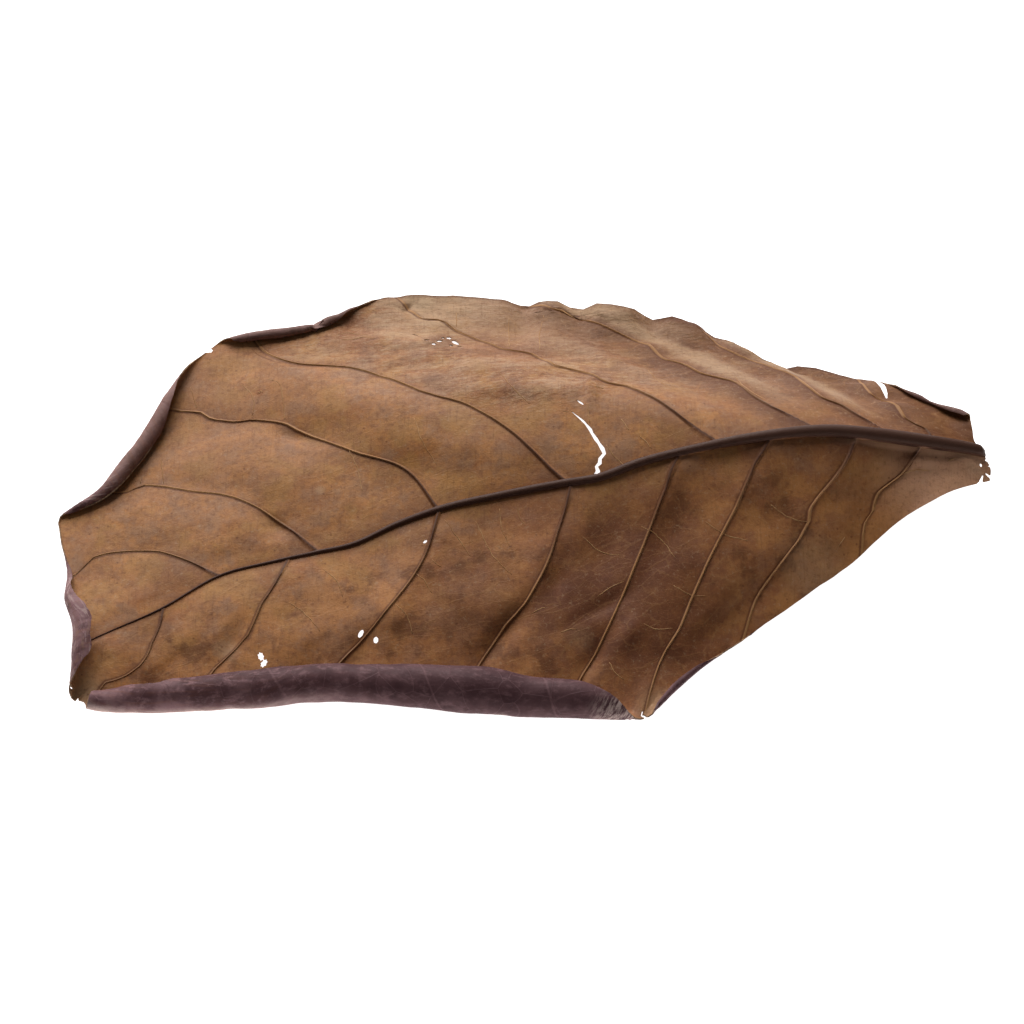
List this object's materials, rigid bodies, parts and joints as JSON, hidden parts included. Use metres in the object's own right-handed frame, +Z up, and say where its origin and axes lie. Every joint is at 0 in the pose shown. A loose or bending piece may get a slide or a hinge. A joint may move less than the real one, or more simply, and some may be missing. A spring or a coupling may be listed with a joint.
{
  "type": "indian almond leaf",
  "caption": "Large dried brown tree leaf, ribbed back up, arched along its midrib and rolled over at the margins, lying flat.",
  "frame": {"origin": "centre of the leaf's plan box, at the surface that it lies on", "axes": "+X from the tip towards the stalk end, along the leaf's length; +Y across the blade, away from the margin with the long roll; +Z up from the surface"},
  "size_m": [0.1998, 0.1126, 0.0185],
  "materials": {
    "dry_leaf": "dry, matt to faintly waxy, mid brown"
  },
  "bodies": {
    "root": {"leaf": "dry_leaf"}
  },
  "joints": []
}
